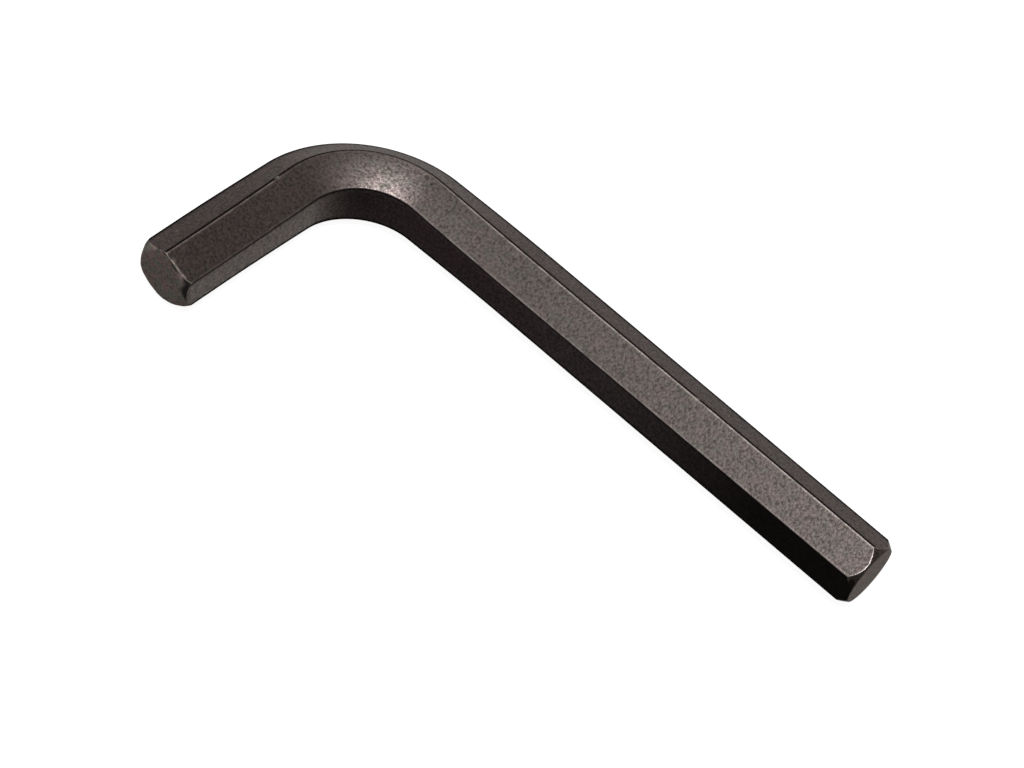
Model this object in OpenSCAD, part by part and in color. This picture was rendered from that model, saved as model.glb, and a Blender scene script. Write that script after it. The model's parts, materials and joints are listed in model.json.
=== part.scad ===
// Hex key: one length of hexagon bar, finished at both ends and bent once to a right angle.
// It lies flat as it would on a bench. The long arm runs along +X and the short arm along -Y,
// both with two flats upright and a corner line on top and underneath, so that the key rests
// on the L-shaped corner line under it, at z = 0. The origin is under the middle of its box.

/* [Bar] */
// Width across the flats of the hexagon, which is the size of the key
across_flats = 12; // [8:0.5:20]
// Depth by which each corner of the hexagon is broken, from the sharp corner towards the axis
corner_break = 0.04; // [0.02:0.01:0.3]

/* [Arms] */
// Length of the long arm, from the outer flat of the short arm to the long tip
long_arm = 129.5; // [80:0.5:300]
// Length of the short arm, from the outer flat of the long arm to the short tip
short_arm = 56.5; // [45:0.5:120]
// Radius of the inner flat of the bar in the bend
bend_inner_radius = 12.8; // [6:0.2:18]

/* [Long tip] */
// Length of the turned chamfer on the long tip, measured along a corner of the bar
long_chamfer = 1.7; // [0.3:0.1:2.5]
// Angle between that chamfer and the axis of the bar
long_chamfer_angle = 33; // [30:1:60]

/* [Short tip] */
// Length of the rounding on the short tip, measured along a corner of the bar
short_round_length = 1.7; // [0.5:0.1:2.5]
// Width of that rounding, from a corner of the bar towards the axis
short_round_width = 2.7; // [1.5:0.1:3.5]

/* [Hidden] */
$fn = 96;

sharp_r = across_flats / sqrt(3);       // from the axis to a sharp corner of the hexagon
corner_r = sharp_r - corner_break;      // from the axis to a broken corner
axis_z = corner_r;                      // height of the axis, with a corner line on z = 0
bend_r = bend_inner_radius + across_flats / 2;
long_straight = long_arm - across_flats / 2 - bend_r;
short_straight = short_arm - across_flats / 2 - bend_r;
bend_centre = [-long_arm / 2 + across_flats / 2 + bend_r,
               short_arm / 2 - across_flats / 2 - bend_r,
               axis_z];
former_r = 2 * sharp_r;                 // the tip formers are well clear of the bar's sides

// The bar's cross-section: flats at both ends of x, corners at both ends of y
module bar_section() {
    intersection() {
        rotate(90) circle(r = sharp_r, $fn = 6);
        circle(r = corner_r);
    }
}

// A straight length of bar along +Z
module straight_bar(length) {
    linear_extrude(height = length) bar_section();
}

// The turned shape that the long tip is cut to: a cone that runs out onto the corners
module long_tip_former(length) {
    run = long_chamfer * tan(long_chamfer_angle);
    cone_length = long_chamfer + (former_r - corner_r) / tan(long_chamfer_angle);
    rotate_extrude()
        polygon([[0, 0], [former_r, 0], [former_r, length - cone_length],
                 [corner_r - run, length], [0, length]]);
}

// The turned shape that the short tip is rounded to: an arc that starts level with a flat end
// face and meets each corner of the bar at the rounding's length from it
module short_tip_former(length) {
    face_r = corner_r - short_round_width;
    arc_r = (pow(short_round_width, 2) + pow(short_round_length, 2)) / (2 * short_round_length);
    rotate_extrude()
        intersection() {
            union() {
                square([face_r, length]);
                square([face_r + arc_r, length - arc_r]);
                translate([face_r, length - arc_r]) circle(r = arc_r);
            }
            square([former_r, length]);
        }
}

module long_arm_piece() {
    rotate([90, 0, 90])
        intersection() {
            straight_bar(long_straight);
            long_tip_former(long_straight);
        }
}

module short_arm_piece() {
    rotate([90, 0, 0])
        intersection() {
            straight_bar(short_straight);
            short_tip_former(short_straight);
        }
}

module bend() {
    rotate(90)
        rotate_extrude(angle = 90)
            translate([bend_r, 0]) bar_section();
}

module hex_key() {
    color("#3b3633")
        translate(bend_centre)
            union() {
                translate([0, bend_r, 0]) long_arm_piece();
                bend();
                translate([-bend_r, 0, 0]) short_arm_piece();
            }
}

hex_key();
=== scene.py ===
import json
from math import atan2, ceil, cos, degrees, exp, pi, radians, sin, tan

import bmesh
import bpy
from mathutils import Euler, Matrix, Vector


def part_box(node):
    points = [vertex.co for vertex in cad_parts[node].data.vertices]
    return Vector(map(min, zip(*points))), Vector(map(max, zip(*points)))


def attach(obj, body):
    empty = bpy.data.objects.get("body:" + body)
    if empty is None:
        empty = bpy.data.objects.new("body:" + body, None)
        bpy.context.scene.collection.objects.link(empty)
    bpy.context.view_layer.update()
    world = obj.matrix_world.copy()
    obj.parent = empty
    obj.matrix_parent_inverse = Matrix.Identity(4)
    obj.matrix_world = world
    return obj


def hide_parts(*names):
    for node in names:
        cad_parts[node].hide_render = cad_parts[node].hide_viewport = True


# A hex key: one bar of blackened hexagon steel, bent once, lying on a pale floor.
# Lengths are in metres, and mm(...) turns millimetres into them.
# Places round the bar are angles in degrees: 0 faces away from the bend's centre, 90 is straight up.

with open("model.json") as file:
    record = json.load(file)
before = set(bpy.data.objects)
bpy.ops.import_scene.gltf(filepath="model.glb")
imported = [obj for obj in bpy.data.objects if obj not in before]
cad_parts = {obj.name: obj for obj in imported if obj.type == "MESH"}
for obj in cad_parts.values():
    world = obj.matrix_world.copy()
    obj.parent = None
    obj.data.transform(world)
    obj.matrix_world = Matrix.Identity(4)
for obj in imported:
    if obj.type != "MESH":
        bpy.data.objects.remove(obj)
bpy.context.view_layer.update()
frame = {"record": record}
print("frame loaded")


def mm(value):
    return value / 1000


def smoothStep(value):
    value = min(max(value, 0.0), 1.0)
    return value * value * (3 - 2 * value)


def ramp(value, start, end):
    # 0 at the start and 1 at the end, smooth between
    return smoothStep((value - start) / (end - start))


def mix(low, high, share):
    return low + (high - low) * share


def mountPlace(name):
    return Vector(next(m["pos_m"] for m in frame["record"]["mounts"] if m["name"] == name))


# sizes that come from the frame
lowCorner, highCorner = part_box("hex_key")
longTip = mountPlace("long_tip_face")        # middle of the long arm's end face
shortTip = mountPlace("short_tip_face")      # middle of the short arm's end face
halfFlats = highCorner.y - longTip.y         # from the axis to a flat
sharpRadius = halfFlats / cos(pi / 6)        # from the axis to a corner before it is broken
cornerRadius = longTip.z - lowCorner.z       # from the axis to a broken corner
arcRadius = (sharpRadius - cornerRadius) / (1 / cos(pi / 6) - 1)   # of the broken corner itself
alongX = Vector((1, 0, 0))                   # the way the long arm points
alongShort = Vector((0, -1, 0))              # the way the short arm points

barShape = {
    "innerRadius": mm(12.8),      # of the inner flat in the bend
    "flatCuts": 15,               # cuts across each flat
    "holdCuts": (mm(0.07), mm(0.30)),   # where the outermost two lie, from the corner's rounding
    "cornerSegments": 4,          # round each broken corner
    "ringStep": mm(0.45),         # between rings along the bar
    "tipZone": mm(4.4),           # stretch before a tip where the rings turn to its outline
    "tipZoneShares": (0.2, 0.4, 0.6, 0.75, 0.87, 0.95, 1.0),
    "edgeRound": mm(0.06),        # rounding of the edges round the tips
    "weld": mm(0.004),            # vertices nearer than this become one
}
bendRadius = barShape["innerRadius"] + halfFlats
bendCentre = Vector((shortTip.x + bendRadius, longTip.y - bendRadius, longTip.z))
bendLength = bendRadius * pi / 2

# Each tip has a flat end face that isn't quite square to the bar. From its rim the cut runs
# back to the bar's sides, by "backs" at each corner.
corners = (30, 90, 150, 210, 270, 330)
tipShapes = {
    "long": {
        "faceRadius": mm(5.78),
        "backs": dict.fromkeys(corners, mm(1.74)),
        "power": 1.0,                # 1 is a plain chamfer
        "slope": (-0.049, 0.057),    # how far the face leans out, outward and upward
        "setBack": mm(0.36),         # of the face's middle from the key's full length
        "cutSteps": 4,
        "faceSteps": 10,
        "rimShades": (),
    },
    "short": {
        "faceRadius": mm(4.17),
        "backs": dict(zip(corners, (mm(2.19), mm(0.10), mm(1.38), mm(2.09), mm(2.60), mm(1.20)))),
        "power": 3.6,                # over 1 rolls over to the end face
        "slope": (-0.040, 0.072),
        "setBack": mm(0.26),
        "cutSteps": 12,
        "faceSteps": 9,
        # painted shade under the rim: from and to which angle, and how many mm wide
        "rimShades": ((128, 196, 2.0), (88, 140, 0.8)),
        "smoothing": 10,             # passes over the rolled edge between the corners
        "smoothReach": mm(1.3),      # how far from the rim they go
        "smoothCore": mm(3),         # they stay outside this radius
    },
}
tipStretch = mm(4)   # how far back from the full length a tip's own surfaces reach
crispSpan = 11       # degrees to each side of a corner where the short tip's edge stays crisp
endFacing = {"long": 0.9, "short": 0.2}   # how squarely a face must look outwards to be a cut end
rimShadeGrow = 2.2   # a painted shade has its full width from its span over this, counted from either end
rimShadeFull = 0.375   # share of that width that is fully dark


def outwardAt(direction):
    # away from the bend's centre, at the tip that points this way
    return Vector((-direction.y, direction.x, 0)) if direction.x > 0.5 else Vector((-1, 0, 0))


def roundTip(point, tip, direction):
    # a point's distance from the bar's axis near a tip, and its angle round it
    out, rise = (point - tip).dot(outwardAt(direction)), point.z - tip.z
    return Vector((out, rise)).length, degrees(atan2(rise, out)) % 360


def tipDepth(radius, angle, shape):
    # how far the cut surface lies behind the full length, at a place on the tip
    out = max(0.0, radius - shape["faceRadius"]) / (cornerRadius - shape["faceRadius"])
    corner = (angle - 30) % 360 // 60 * 60 + 30
    share = smoothStep((angle - corner) % 360 / 60)
    back = mix(shape["backs"][corner % 360], shape["backs"][(corner + 60) % 360], share)
    outward, upward = shape["slope"]
    lean = radius * (outward * cos(radians(angle)) + upward * sin(radians(angle)))
    return shape["setBack"] + back * out ** shape["power"] - lean


def rimShade(shape, angle, depth):
    # how much painted shade lies at a depth in from the tip's rim; it narrows to both its ends
    amount = 0.0
    for first, last, width in shape["rimShades"]:
        reach = mm(width) * ramp(min(angle - first, last - angle), 0, (last - first) / rimShadeGrow)
        if reach > 0:
            amount = max(amount, ramp(depth, reach, reach * rimShadeFull))
    return amount


def fromCorner(angle):
    # degrees from the nearest corner of the hexagon
    return abs(angle % 60 - 30)


def sectionRing(bm):
    # the bar's outline: a hexagon with rounded corners and cut flats, its first corner on +Y
    bmesh.ops.create_circle(bm, cap_ends=True, segments=6, radius=sharpRadius)
    bmesh.ops.bevel(bm, geom=bm.verts[:], offset=arcRadius * tan(pi / 6), offset_type="OFFSET",
                    segments=barShape["cornerSegments"], profile=0.5, affect="VERTICES", material=-1)
    flats = [e for e in bm.edges if e.calc_length() > halfFlats / 2]
    cuts = barShape["flatCuts"]
    first, second = barShape["holdCuts"]
    for flat in flats:
        start, end = flat.verts[0].co.copy(), flat.verts[1].co.copy()
        length = (end - start).length
        spaces = cuts - 3
        marks = [first] + [mix(second, length - second, i / spaces) for i in range(spaces + 1)]
        marks += [length - first]
        made = bmesh.ops.subdivide_edges(bm, edges=[flat], cuts=cuts)["geom_inner"]
        inner = sorted((g for g in made if isinstance(g, bmesh.types.BMVert)),
                       key=lambda v: (v.co - start).length)
        for vert, mark in zip(inner, marks):
            vert.co = start + (end - start) * (mark / length)
    bmesh.ops.delete(bm, geom=bm.faces[:], context="FACES_ONLY")
    return bm.edges[:]


def extrudeRing(bm, edges, move):
    made = bmesh.ops.extrude_edge_only(bm, edges=edges)["geom"]
    verts = [g for g in made if isinstance(g, bmesh.types.BMVert)]
    bmesh.ops.translate(bm, verts=verts, vec=move)
    # the side edges come back too, so only those between two new vertices are the new ring
    fresh = set(verts)
    return [g for g in made if isinstance(g, bmesh.types.BMEdge)
            and g.verts[0] in fresh and g.verts[1] in fresh]


def ringVerts(edges):
    # each vertex once, in the order they come
    return list(dict.fromkeys(v for e in edges for v in e.verts))


def growArm(bm, edges, direction, length):
    steps = ceil(length / barShape["ringStep"])
    for _ in range(steps):
        edges = extrudeRing(bm, edges, direction * (length / steps))
    return edges


def shapeTip(bm, edges, tip, direction, shape):
    # the side runs up to the tip's outline, then over its cut edge to the end face
    zone = barShape["tipZone"]
    face = shape["faceRadius"]
    stainAndShade = bm.verts.layers.float["stainAndShade"]
    outward = outwardAt(direction)
    outline = [roundTip(v.co, tip, direction) for v in ringVerts(edges)]

    def outlineRadius(angle):
        return min(outline, key=lambda mark: abs((mark[1] - angle + 180) % 360 - 180))[0]

    stages = [("side", share) for share in barShape["tipZoneShares"]]
    stages += [("cut", step / shape["cutSteps"]) for step in range(1, shape["cutSteps"] + 1)]
    stages += [("face", step / shape["faceSteps"]) for step in range(1, shape["faceSteps"])]
    rims = []
    for stage, share in stages:
        edges = extrudeRing(bm, edges, Vector())
        for vert in ringVerts(edges):
            angle = roundTip(vert.co, tip, direction)[1]
            radial = outward * cos(radians(angle)) + Vector((0, 0, sin(radians(angle))))
            side = outlineRadius(angle)
            if stage == "side":
                radius = side
                along = mix(-zone, -tipDepth(side, angle, shape), share)
            elif stage == "cut":
                radius = mix(side, face, share)
                along = -tipDepth(radius, angle, shape)
            else:
                radius = face * (1 - share)
                along = -tipDepth(radius, angle, shape)
            vert.co = tip + radial * radius + direction * along
            # painted shade under the short tip's rim goes into the dark layer
            vert[stainAndShade] = rimShade(shape, angle, side - radius) if stage == "cut" else 0.0
        if share == 1:
            rims.append(edges)
    cap = bmesh.ops.contextual_create(bm, geom=edges)["faces"]
    bmesh.ops.poke(bm, faces=cap)
    return rims


def rollRim(bm, rim, tip, direction, shape):
    # between the corners the short tip's edge was ground over, so it is smoothed there
    near = []
    for vert in bm.verts:
        if abs((vert.co - tip).dot(direction)) > tipStretch:
            continue
        radius, angle = roundTip(vert.co, tip, direction)
        close = min((vert.co - r.co).length for r in rim)
        if close < shape["smoothReach"] and fromCorner(angle) > crispSpan and radius > shape["smoothCore"]:
            near.append(vert)
    for _ in range(shape["smoothing"]):
        bmesh.ops.smooth_vert(bm, verts=near, factor=0.5, use_axis_x=True, use_axis_y=True,
                              use_axis_z=True)


def barPlace(point):
    # the distance along the bar from the start of the bend, out from the axis, and up from it
    rise = point.z - bendCentre.z
    if point.x > bendCentre.x:
        return bendCentre.x - point.x, point.y - longTip.y, rise
    if point.y < bendCentre.y:
        return bendLength + bendCentre.y - point.y, shortTip.x - point.x, rise
    flat = Vector((point.x - bendCentre.x, point.y - bendCentre.y))
    angle = atan2(-flat.x, flat.y)
    return angle * bendRadius, flat.length - bendRadius, rise


def barPoint(along, out, rise):
    if along < 0:
        return Vector((bendCentre.x - along, longTip.y + out, bendCentre.z + rise))
    if along > bendLength:
        return Vector((shortTip.x - out, bendCentre.y - (along - bendLength), bendCentre.z + rise))
    angle = along / bendRadius
    reach = bendRadius + out
    return bendCentre + Vector((-sin(angle) * reach, cos(angle) * reach, rise))


bendPull = {
    "squeeze": 0.53,     # how far bending thickens the inner side and thins the outer side
    "inward": 0.72,      # share of it that moves the flats in the plane of the bend
    "upward": 1.58,      # share of it that moves them square to that plane
    "fade": mm(44),      # length over which it comes in and goes out again
}


def pullBend(bm):
    fade = bendPull["fade"]
    for vert in bm.verts:
        along, out, rise = barPlace(vert.co)
        share = ramp(along, -fade / 2, fade / 2) * ramp(along, bendLength + fade / 2, bendLength - fade / 2)
        curve = share * bendPull["squeeze"] / bendRadius
        newOut = out - curve * bendPull["inward"] * (out * out - rise * rise) / 2
        newRise = rise - curve * bendPull["upward"] * out * rise
        vert.co = barPoint(along, newOut, newRise)


# How worn each corner is, with light painted on it: the first value is how bright the line on its crest is,
# partly rubbed bare and partly a painted highlight. Dark oxide with painted shade lies beside the crest, on
# the flat before it, after it, or both, going up round the bar: how wide in mm.
cornerWearAndLight = {
    30: {"rubAndHighlight": 0.0, "before": 0.5, "after": 1.25},
    90: {"rubAndHighlight": 1.0, "before": 0.95, "after": 0.0},
    150: {"rubAndHighlight": 0.45, "before": 0.0, "after": 0.55},
    210: {"rubAndHighlight": 0.0, "before": 0.9, "after": 0.5},
    270: {"rubAndHighlight": 0.7, "before": 0.4, "after": 0.0},
    330: {"rubAndHighlight": 0.2, "before": 0.5, "after": 0.5},
}
# The same on the tips' edges, where the bright rim is wear and a painted highlight; the short tip's is bright
# only in places: at which angle, how many degrees to each side, and how bright
rimWearAndHighlight = {
    "longSide": 0.75,
    "longFace": 0.12,
    "innerFree": (20, 40),     # degrees from the inner flat's middle to where it starts and is full
    "short": ((94, 12, 1.0), (146, 7, 0.25)),
}
bendCrestShine = {"share": 0.30, "from": (mm(-4), mm(2)), "to": (mm(30), mm(33))}   # the crests' rubbed line and painted highlight are weaker in the bend
cornerReach = 20        # degrees to each side of a corner that its wear and painted light may reach
crestAngle = 0.2        # degrees to each side of a corner that stay free of oxide and painted shade
crestCore = mm(0.06)    # half width of a corner's fully bright line, rubbed and painted highlight
crestWidth = mm(0.30)   # from there to where it has faded
# beside a corner the dark oxide and painted shade are full up to this plus a third of its width, and gone at
# this plus the whole width
sideDarkCore = mm(0.05)
faceMargin = mm(0.01)   # how far outside an end face the inner flat's oxide starts
# the long arm's inner flat darkens towards its tip: how much, from where and to where
innerDarkening = {"share": 0.95, "from": mm(-12), "to": mm(-87)}

# Small knocks: where along the bar, round it and out from its axis, how wide and deep, all in
# mm and degrees, and how bright or dark. Over 1 stays bright where the rubbing is broken up.
nicks = [
    {"along": 33.3, "angle": 90, "reach": 6.85, "size": 0.30, "depth": 0.12, "rubAndHighlight": 2.5},
    {"along": 2.9, "angle": 97, "reach": 6.6, "size": 0.34, "depth": 0.07, "stainAndShade": 0.8},
    {"along": 1.4, "angle": 102, "reach": 6.4, "size": 0.30, "depth": 0.06, "stainAndShade": 0.7},
    {"along": 58.0, "angle": 98, "reach": 6.6, "size": 0.28, "depth": 0.05, "rubAndHighlight": 0.9},
    {"along": 60.6, "angle": 104, "reach": 6.3, "size": 0.26, "depth": 0.04, "rubAndHighlight": 0.9},
    {"along": 54.8, "angle": 55, "reach": 6.0, "size": 0.26, "depth": 0.04, "rubAndHighlight": 0.6},
    {"along": 60.8, "angle": 70, "reach": 6.0, "size": 0.60, "depth": 0.06, "stainAndShade": 0.9},
    {"along": 61.2, "angle": 195, "reach": 4.7, "size": 0.30, "depth": 0.06, "stainAndShade": 1.0},
    {"along": -97.0, "angle": 93, "reach": 6.8, "size": 0.35, "depth": 0.06, "stainAndShade": 0.7},
    {"along": -62.0, "angle": 90, "reach": 6.8, "size": 0.35, "depth": 0.06, "rubAndHighlight": 0.7},
    {"along": -30.0, "angle": 270, "reach": 6.8, "size": 0.50, "depth": 0.08, "rubAndHighlight": 0.8},
]


def wearAndLightCorners(vert, along, out, rise, rubAndHighlight, stainAndShade):
    angle = degrees(atan2(rise, out)) % 360
    for corner, wear in cornerWearAndLight.items():
        apart = (angle - corner + 180) % 360 - 180
        if abs(apart) > cornerReach:
            continue
        sharp = Vector((cos(radians(corner)), sin(radians(corner)))) * sharpRadius
        crest = (Vector((out, rise)) - sharp).length
        side = wear["after"] if apart > 0 else wear["before"]
        # a flat with oxide and painted shade starts right at the crest, so the bright line of wear and
        # painted highlight stays on the other
        if side == 0:
            inBend = ramp(along, *bendCrestShine["from"]) * ramp(along, *reversed(bendCrestShine["to"]))
            # the crest's bright line: rubbed metal and a painted highlight
            shine = wear["rubAndHighlight"] * ramp(crest, crestCore + crestWidth, crestCore)
            vert[rubAndHighlight] = max(vert[rubAndHighlight], shine * mix(1, bendCrestShine["share"], inBend))
        elif abs(apart) > crestAngle:
            # dark oxide with painted shade beside the crest
            dark = ramp(crest, sideDarkCore + mm(side), sideDarkCore + mm(side) / 3)
            vert[stainAndShade] = max(vert[stainAndShade], dark)
    # the long arm's inner flat is made darker towards its tip
    onSide = Vector((out, rise)).length > tipShapes["long"]["faceRadius"] + faceMargin
    if 150 < angle < 210 and onSide:
        dark = innerDarkening["share"] * ramp(along, innerDarkening["from"], innerDarkening["to"])
        vert[stainAndShade] = max(vert[stainAndShade], dark)


def knockNick(vert, nick, place, rubAndHighlight, stainAndShade):
    along, out, rise = place
    turn = radians(nick["angle"])
    middle = Vector((mm(nick["along"]), mm(nick["reach"]) * cos(turn), mm(nick["reach"]) * sin(turn)))
    apart = (Vector(place) - middle).length / mm(nick["size"])
    if apart > 3:
        return
    fall = exp(-apart * apart)
    radial = Vector((out, rise))
    radial -= radial.normalized() * mm(nick["depth"]) * fall
    vert.co = barPoint(along, radial.x, radial.y)
    vert[rubAndHighlight] = max(vert[rubAndHighlight], nick.get("rubAndHighlight", 0.0) * fall)
    vert[stainAndShade] = max(vert[stainAndShade], nick.get("stainAndShade", 0.0) * fall)


def markWearAndPaintedLight(bm):
    rubAndHighlight = bm.verts.layers.float["rubAndHighlight"]
    stainAndShade = bm.verts.layers.float["stainAndShade"]
    for vert in bm.verts:
        place = barPlace(vert.co)
        wearAndLightCorners(vert, *place, rubAndHighlight, stainAndShade)
        for nick in nicks:
            knockNick(vert, nick, place, rubAndHighlight, stainAndShade)


def brightenRims(bm, longRims, shortRim):
    rubAndHighlight = bm.verts.layers.float["rubAndHighlight"]
    for vert in ringVerts(longRims[0]):
        # the bright rim of wear and painted highlight leaves out the inner flat's edge, which kept its oxide
        fromInner = abs(roundTip(vert.co, longTip, alongX)[1] - 180)
        vert[rubAndHighlight] = rimWearAndHighlight["longSide"] * ramp(fromInner, *rimWearAndHighlight["innerFree"])
    for vert in ringVerts(longRims[1]):
        vert[rubAndHighlight] = rimWearAndHighlight["longFace"]
    # the short tip's rim is brightened in places: wear and a painted highlight
    for vert in shortRim:
        angle = roundTip(vert.co, shortTip, alongShort)[1]
        for middle, spread, strength in rimWearAndHighlight["short"]:
            shine = strength * ramp(abs(angle - middle), spread, 0)
            vert[rubAndHighlight] = max(vert[rubAndHighlight], shine)


def roundEdges(bm, longRims, shortRim):
    crisp = list(dict.fromkeys(e for rim in longRims for e in rim))
    crisp += [e for e in shortRim
              if fromCorner(roundTip(e.verts[0].co, shortTip, alongShort)[1]) < crispSpan]
    bmesh.ops.bevel(bm, geom=crisp, offset=barShape["edgeRound"], offset_type="OFFSET", segments=2,
                    profile=0.5, affect="EDGES", material=-1, clamp_overlap=True)
    bmesh.ops.remove_doubles(bm, verts=bm.verts[:], dist=barShape["weld"])
    bmesh.ops.recalc_face_normals(bm, faces=bm.faces[:])


def pickEnds(bm):
    # the cut ends take the second material
    for face in bm.faces:
        middle = face.calc_center_median()
        atLong = middle.x > longTip.x - tipStretch and face.normal.dot(alongX) > endFacing["long"]
        atShort = middle.y < shortTip.y + tipStretch and face.normal.dot(alongShort) > endFacing["short"]
        face.material_index = 1 if atLong or atShort else 0


def buildBar():
    bm = bmesh.new()
    for layer in ("rubAndHighlight", "stainAndShade"):
        bm.verts.layers.float.new(layer)
    ring = sectionRing(bm)
    # local x looks away from the bend's centre and local y is up
    stand = Matrix(((0, 0, -1, 0), (1, 0, 0, 0), (0, 1, 0, 0), (0, 0, 0, 1)))
    place = Matrix.Translation((bendCentre.x, longTip.y, longTip.z)) @ stand
    bmesh.ops.transform(bm, matrix=place, verts=bm.verts[:])
    zone = barShape["tipZone"]
    longEnd = growArm(bm, ring, alongX, longTip.x - zone - bendCentre.x)
    spun = bmesh.ops.spin(bm, geom=ring, cent=bendCentre, axis=(0, 0, 1), angle=pi / 2,
                          steps=ceil(bendLength / barShape["ringStep"]))["geom_last"]
    spunEdges = [g for g in spun if isinstance(g, bmesh.types.BMEdge)]
    shortEnd = growArm(bm, spunEdges, alongShort, bendCentre.y - shortTip.y - zone)
    print("bar swept:", len(bm.verts), "vertices")

    longRims = shapeTip(bm, longEnd, longTip, alongX, tipShapes["long"])
    shortRims = shapeTip(bm, shortEnd, shortTip, alongShort, tipShapes["short"])
    shortRim = ringVerts(shortRims[0])
    rollRim(bm, shortRim, shortTip, alongShort, tipShapes["short"])
    brightenRims(bm, longRims, shortRim)
    roundEdges(bm, longRims, shortRims[0])
    pickEnds(bm)
    markWearAndPaintedLight(bm)
    pullBend(bm)
    print("tips and wear added:", len(bm.verts), "vertices,", len(bm.faces), "faces")
    return bm


def hexToLinear(text):
    channels = [int(text[i:i + 2], 16) / 255 for i in (1, 3, 5)]
    return [c / 12.92 if c <= 0.04045 else ((c + 0.055) / 1.055) ** 2.4 for c in channels] + [1.0]


def addNode(tree, kind, settings=None, links=None):
    node = tree.nodes.new(kind)
    for name, value in (settings or {}).items():
        if name in node.inputs:
            node.inputs[name].default_value = value
        else:
            setattr(node, name, value)
    for name, source in (links or {}).items():
        tree.links.new(source, node.inputs[name])
    return node


# Steel blackened in a hot bath after it was drawn: a thin dark oxide that keeps the metal's
# soft gloss, with a fine gritty tooth. The real grain is a few hundredths of a millimetre, so
# it is drawn as coarse as it needs to show.
drawnSide = {
    "warmColour": "#5e5553",
    "coolColour": "#5a5551",
    "rubAndHighlightColour": "#b4aaa6",
    "stainAndShadeColour": "#0d0a0a",
    "metallic": 1.0,
    "oxideGloss": 0.0,        # of the thick oxide and the painted shade, which are dull; the metal's own gloss doesn't use it
    "roughness": 0.40,
    "grainSize": mm(0.52),
    "grainTint": 0.50,        # how much lighter and darker the grain makes the colour
    "grainHeight": mm(0.030),
    "mottleSize": mm(2.6),    # patches of the warm and the cool colour
    "patchSize": mm(2.2),     # breaks along the rubbed and highlighted corners
}
# The cut ends took the same blackening over a rougher face, so they are duller and more even
cutEnd = {
    "warmColour": "#83716b",
    "coolColour": "#737368",
    "rubAndHighlightColour": "#a89e9a",
    "stainAndShadeColour": "#0d0a0a",
    "metallic": 0.35,
    "oxideGloss": 0.5,
    "roughness": 0.62,
    "grainSize": mm(0.45),
    "grainTint": 0.42,
    "grainHeight": mm(0.030),
    "mottleSize": mm(1.6),
    "patchSize": mm(2.2),
}
grainRange = {"From Min": 0.30, "From Max": 0.70}   # what the grain's noise spans
glossSwing = 0.06                                   # how far the grain moves the roughness


def blackenedSteel(name, look):
    material = bpy.data.materials.new(name)
    material.use_nodes = True
    tree = material.node_tree
    tree.nodes.clear()
    where = addNode(tree, "ShaderNodeTexCoord").outputs["Object"]
    grain = addNode(tree, "ShaderNodeTexNoise",
                    {"Scale": 1 / look["grainSize"], "Detail": 1.5, "Roughness": 0.6}, {"Vector": where})
    mottle = addNode(tree, "ShaderNodeTexNoise",
                     {"Scale": 1 / look["mottleSize"], "Detail": 2.0, "Roughness": 0.5}, {"Vector": where})
    hue = addNode(tree, "ShaderNodeMapRange", {"From Min": 0.40, "From Max": 0.60},
                  {"Value": mottle.outputs["Fac"]})
    base = addNode(tree, "ShaderNodeMixRGB",
                   {"Color1": hexToLinear(look["warmColour"]), "Color2": hexToLinear(look["coolColour"])},
                   {"Fac": hue.outputs["Result"]})
    shade = addNode(tree, "ShaderNodeMapRange",
                    {**grainRange, "To Min": 1 - look["grainTint"], "To Max": 1 + look["grainTint"]},
                    {"Value": grain.outputs["Fac"]})
    toned = addNode(tree, "ShaderNodeVectorMath", {"operation": "SCALE"},
                    {"Vector": base.outputs["Color"], "Scale": shade.outputs["Result"]})

    # rubbed corners with a painted highlight on them, broken up along their length, and dark oxide with
    # painted shade beside them
    rubAndHighlight = addNode(tree, "ShaderNodeAttribute", {"attribute_name": "rubAndHighlight"}).outputs["Fac"]
    stainAndShade = addNode(tree, "ShaderNodeAttribute", {"attribute_name": "stainAndShade"}).outputs["Fac"]
    patchy = addNode(tree, "ShaderNodeTexNoise",
                     {"Scale": 1 / look["patchSize"], "Detail": 3.0, "Roughness": 0.7}, {"Vector": where})
    patches = addNode(tree, "ShaderNodeMapRange", {"From Min": 0.36, "From Max": 0.56, "To Min": 0.30},
                      {"Value": patchy.outputs["Fac"]})
    bright = addNode(tree, "ShaderNodeMath", {"operation": "MULTIPLY"})
    tree.links.new(rubAndHighlight, bright.inputs[0])
    tree.links.new(patches.outputs["Result"], bright.inputs[1])
    stainedAndShaded = addNode(tree, "ShaderNodeMixRGB", {"Color2": hexToLinear(look["stainAndShadeColour"])},
                      {"Fac": stainAndShade, "Color1": toned.outputs["Vector"]})
    wornAndHighlighted = addNode(tree, "ShaderNodeMixRGB", {"Color2": hexToLinear(look["rubAndHighlightColour"])},
                   {"Fac": bright.outputs["Value"], "Color1": stainedAndShaded.outputs["Color"]})
    gloss = addNode(tree, "ShaderNodeMapRange",
                    {**grainRange, "To Min": look["roughness"] + glossSwing,
                     "To Max": look["roughness"] - glossSwing}, {"Value": grain.outputs["Fac"]})
    # the thick oxide and the painted shade beside the corners have no metal gloss left, so they stay dark
    metal = addNode(tree, "ShaderNodeMapRange", {"To Min": look["metallic"], "To Max": 0.0}, {"Value": stainAndShade})
    bump = addNode(tree, "ShaderNodeBump", {"Strength": 1.0, "Distance": look["grainHeight"]},
                   {"Height": grain.outputs["Fac"]})
    shader = addNode(tree, "ShaderNodeBsdfPrincipled", {"Specular IOR Level": look["oxideGloss"]},
                     {"Base Color": wornAndHighlighted.outputs["Color"], "Roughness": gloss.outputs["Result"],
                      "Metallic": metal.outputs["Result"], "Normal": bump.outputs["Normal"]})
    out = addNode(tree, "ShaderNodeOutputMaterial")
    tree.links.new(shader.outputs["BSDF"], out.inputs["Surface"])
    print("material:", name)
    return material


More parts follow.
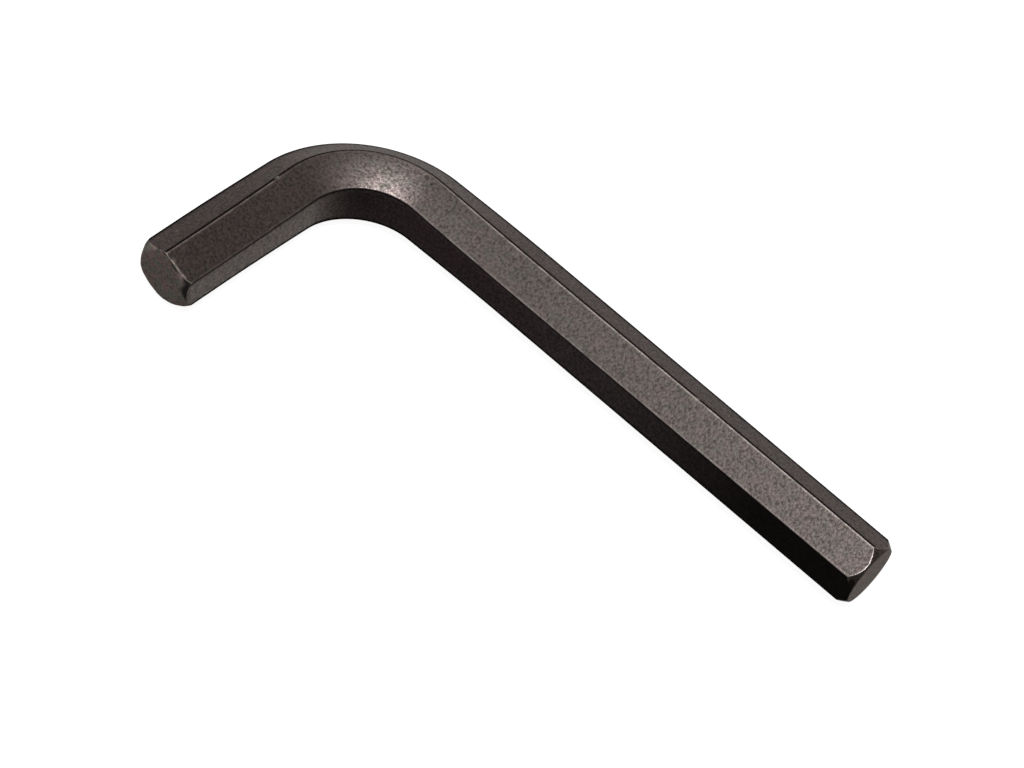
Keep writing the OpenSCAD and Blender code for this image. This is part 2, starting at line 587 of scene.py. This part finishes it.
def makeKey():
    bm = buildBar()
    mesh = bpy.data.meshes.new("hexKeyBar")
    bm.to_mesh(mesh)
    bm.free()
    mesh.polygons.foreach_set("use_smooth", [True] * len(mesh.polygons))
    key = bpy.data.objects.new("hexKeyBar", mesh)
    bpy.context.scene.collection.objects.link(key)
    mesh.materials.append(blackenedSteel("blackenedDrawnSteel", drawnSide))
    mesh.materials.append(blackenedSteel("blackenedCutEnd", cutEnd))
    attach(key, "root")
    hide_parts("hex_key")


cameraPlace = {
    "azimuth": 29.144,                        # degrees round from -Y towards +X
    "elevation": 49.246,                      # degrees above the floor
    "roll": -17.559,                          # degrees the camera itself leans
    "distance": mm(853.3),                    # from the aim
    "lens": 170.1,                            # mm, on a sensor 36 mm wide
    "aim": (mm(-7.554), mm(10.738), mm(-9.25)),   # from the middle of the key's box
}


def makeCamera():
    turn = Euler((radians(90 - cameraPlace["elevation"]), 0, radians(cameraPlace["azimuth"])), "XYZ")
    look = turn.to_matrix().to_4x4() @ Matrix.Rotation(radians(-cameraPlace["roll"]), 4, "Z")
    middle = (lowCorner + highCorner) / 2
    aim = middle + Vector(cameraPlace["aim"])
    data = bpy.data.cameras.new("camera")
    data.sensor_width = 36
    data.lens = cameraPlace["lens"]
    data.clip_start = mm(10)
    camera = bpy.data.objects.new("camera", data)
    back = look.to_3x3() @ Vector((0, 0, cameraPlace["distance"]))
    camera.matrix_world = Matrix.Translation(aim + back) @ look
    bpy.context.scene.collection.objects.link(camera)
    bpy.context.scene.camera = camera
    print("camera:", [round(v, 4) for v in camera.location])


# White paper lit from behind, so it stays pale and takes only a faint shadow
floorLook = {"size": 3.0, "colour": "#808080", "glow": 0.93}


def makeFloor():
    bm = bmesh.new()
    bmesh.ops.create_grid(bm, x_segments=1, y_segments=1, size=floorLook["size"])
    mesh = bpy.data.meshes.new("floor")
    bm.to_mesh(mesh)
    bm.free()
    floor = bpy.data.objects.new("floor", mesh)
    bpy.context.scene.collection.objects.link(floor)
    material = bpy.data.materials.new("litPaper")
    material.use_nodes = True
    settings = material.node_tree.nodes["Principled BSDF"].inputs
    settings["Base Color"].default_value = hexToLinear(floorLook["colour"])
    settings["Roughness"].default_value = 1.0
    settings["Specular IOR Level"].default_value = 0.0
    settings["Emission Color"].default_value = (1, 1, 1, 1)
    settings["Emission Strength"].default_value = floorLook["glow"]
    mesh.materials.append(material)
    floor.visible_glossy = False
    floor.visible_diffuse = False


# A round softbox high in front and to the right, in metres and watts
keyLight = {"place": (0.325, -0.57, 1.88), "aim": (-0.046, 0.012, 0.0), "size": 0.60, "power": 27}


def makeSoftbox():
    data = bpy.data.lights.new("keySoftbox", "AREA")
    data.shape = "DISK"
    data.size = keyLight["size"]
    data.energy = keyLight["power"]
    light = bpy.data.objects.new("keySoftbox", data)
    facing = (Vector(keyLight["place"]) - Vector(keyLight["aim"])).to_track_quat("Z", "Y")
    light.matrix_world = Matrix.Translation(keyLight["place"]) @ facing.to_matrix().to_4x4()
    bpy.context.scene.collection.objects.link(light)


# The studio round the key: its back half is pale, the front is bright above and dark below,
# the far right is dark, and two dark screens draw the lines along the corners
studio = {
    "backColour": "#fff3f1", "back": 0.40,
    "backBelowColour": "#fff8f4", "backBelow": 0.70,
    "aboveColour": "#ffffff", "above": 0.55,
    "belowColour": "#ffe6f3", "below": 0.12,
    "aboveFade": (-0.05, 0.55),     # of a direction's Z, from below to above
    "backFade": (0.10, -0.55),      # of its Z, from the back to the back below
    "frontFade": (0.35, -0.25),     # of its Y, from the back to the front
    "rightFade": (0.42, 0.72),      # of its X, to the dark right
    "rightShade": 0.25,
    "screenShade": 0.03,
    "screens": [(-0.324, 0.562, 0.761), (-0.324, 0.562, -0.761)],
    "screenAngles": (12, 26),   # degrees from a screen's middle to where it starts and ends to fade
}


def makeWorld():
    world = bpy.data.worlds.new("studio")
    bpy.context.scene.world = world
    world.use_nodes = True
    tree = world.node_tree
    tree.nodes.clear()
    where = addNode(tree, "ShaderNodeTexCoord").outputs["Generated"]
    axes = addNode(tree, "ShaderNodeSeparateXYZ", links={"Vector": where}).outputs

    def fade(axis, span, low=0.0, high=1.0):
        node = addNode(tree, "ShaderNodeMapRange",
                       {"interpolation_type": "SMOOTHSTEP", "From Min": span[0], "From Max": span[1],
                        "To Min": low, "To Max": high}, {"Value": axes[axis]})
        return node.outputs["Result"]

    def tone(part):
        return [c * studio[part] for c in hexToLinear(studio[part + "Colour"])[:3]] + [1.0]

    front = addNode(tree, "ShaderNodeMixRGB", {"Color1": tone("below"), "Color2": tone("above")},
                    {"Fac": fade("Z", studio["aboveFade"])})
    rear = addNode(tree, "ShaderNodeMixRGB", {"Color1": tone("back"), "Color2": tone("backBelow")},
                   {"Fac": fade("Z", studio["backFade"])})
    whole = addNode(tree, "ShaderNodeMixRGB", None,
                    {"Fac": fade("Y", studio["frontFade"]), "Color1": rear.outputs["Color"],
                     "Color2": front.outputs["Color"]})
    strength = fade("X", studio["rightFade"], 1.0, studio["rightShade"])
    inner, outer = (cos(radians(a)) for a in studio["screenAngles"])
    for direction in studio["screens"]:
        facing = addNode(tree, "ShaderNodeVectorMath", {"operation": "DOT_PRODUCT"})
        tree.links.new(where, facing.inputs[0])
        facing.inputs[1].default_value = direction
        shade = addNode(tree, "ShaderNodeMapRange",
                        {"interpolation_type": "SMOOTHSTEP", "From Min": outer, "From Max": inner,
                         "To Min": 1.0, "To Max": studio["screenShade"]}, {"Value": facing.outputs["Value"]})
        darker = addNode(tree, "ShaderNodeMath", {"operation": "MULTIPLY"})
        tree.links.new(strength, darker.inputs[0])
        tree.links.new(shade.outputs["Result"], darker.inputs[1])
        strength = darker.outputs["Value"]
    sky = addNode(tree, "ShaderNodeBackground", links={"Color": whole.outputs["Color"], "Strength": strength})
    out = addNode(tree, "ShaderNodeOutputWorld")
    tree.links.new(sky.outputs["Background"], out.inputs["Surface"])


bpy.context.scene.view_settings.view_transform = "Standard"
makeCamera()
makeFloor()
makeSoftbox()
makeWorld()
print("floor and lights set")
makeKey()
